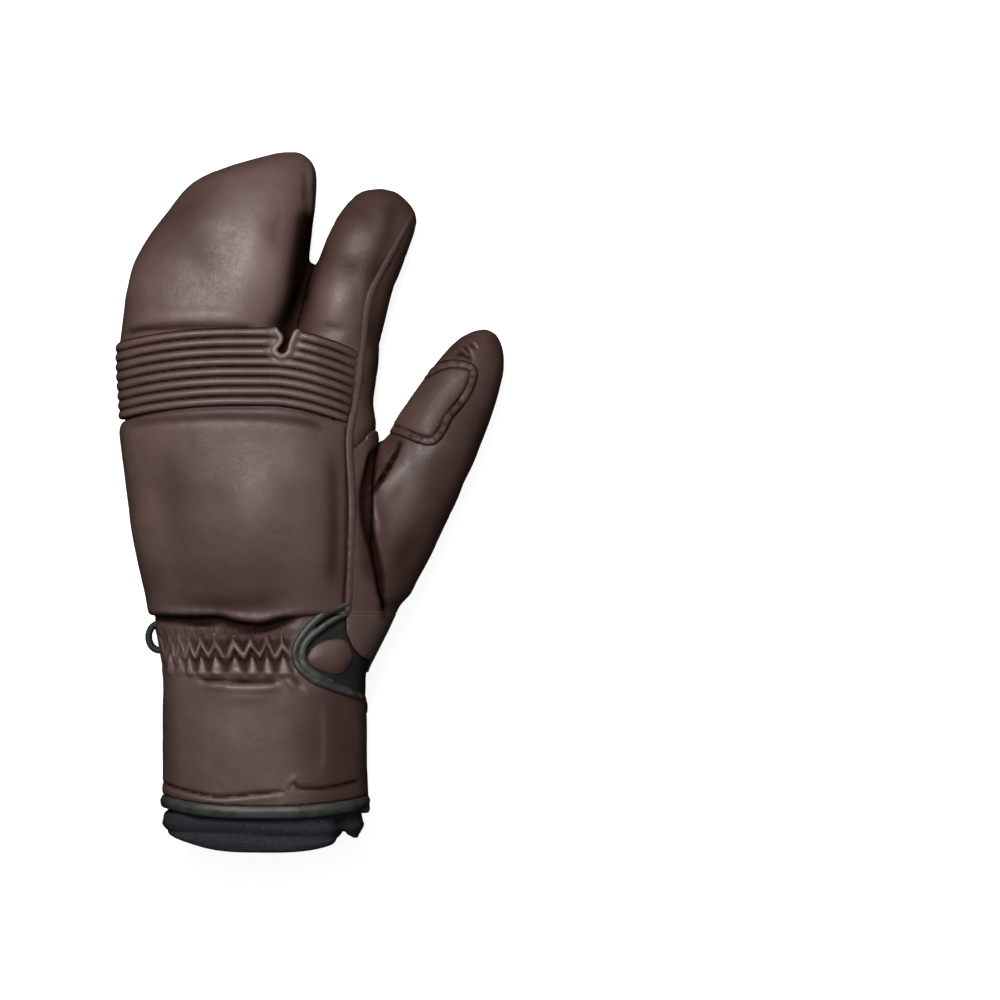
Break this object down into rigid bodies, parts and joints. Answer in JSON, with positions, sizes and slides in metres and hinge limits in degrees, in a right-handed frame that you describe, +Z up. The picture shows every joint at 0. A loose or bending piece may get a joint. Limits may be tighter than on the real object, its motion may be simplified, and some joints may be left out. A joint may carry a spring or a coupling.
{
  "type": "lobster claw mitt",
  "caption": "Left-hand padded leather ski mitt with a three-finger pocket, free index finger and thumb, ribbed knuckles, gathered wrist and a strapped neoprene cuff.",
  "frame": {"origin": "middle of the base of the box round the mitt, on the surface it lies on", "axes": "+Y from the wrist to the fingertips, +X to the thumb side, +Z up out of the back of the hand"},
  "size_m": [0.1632, 0.293, 0.0532],
  "materials": {
    "leather": "soft satin brown leather",
    "side_leather": "soft satin darker brown leather",
    "neoprene": "matte knit-faced neoprene",
    "edging": "matte stitched binding",
    "hook_and_loop": "matte hook-and-loop pile",
    "webbing": "woven webbing"
  },
  "bodies": {
    "root": {"hand_body": "leather", "finger_pocket": "leather", "index_finger": "side_leather", "thumb": "side_leather", "knuckle_ribs": "leather", "back_pad": "leather", "side_welt": "leather", "wiping_patch": "leather", "wrist_gathers": "leather", "notch_panel": "neoprene", "notch_tongue": "side_leather", "notch_edging": "edging", "cuff_strap": "leather", "strap_edging": "edging", "cuff_sleeve": "neoprene", "hook_patch": "hook_and_loop", "hang_loop": "webbing"}
  },
  "joints": []
}
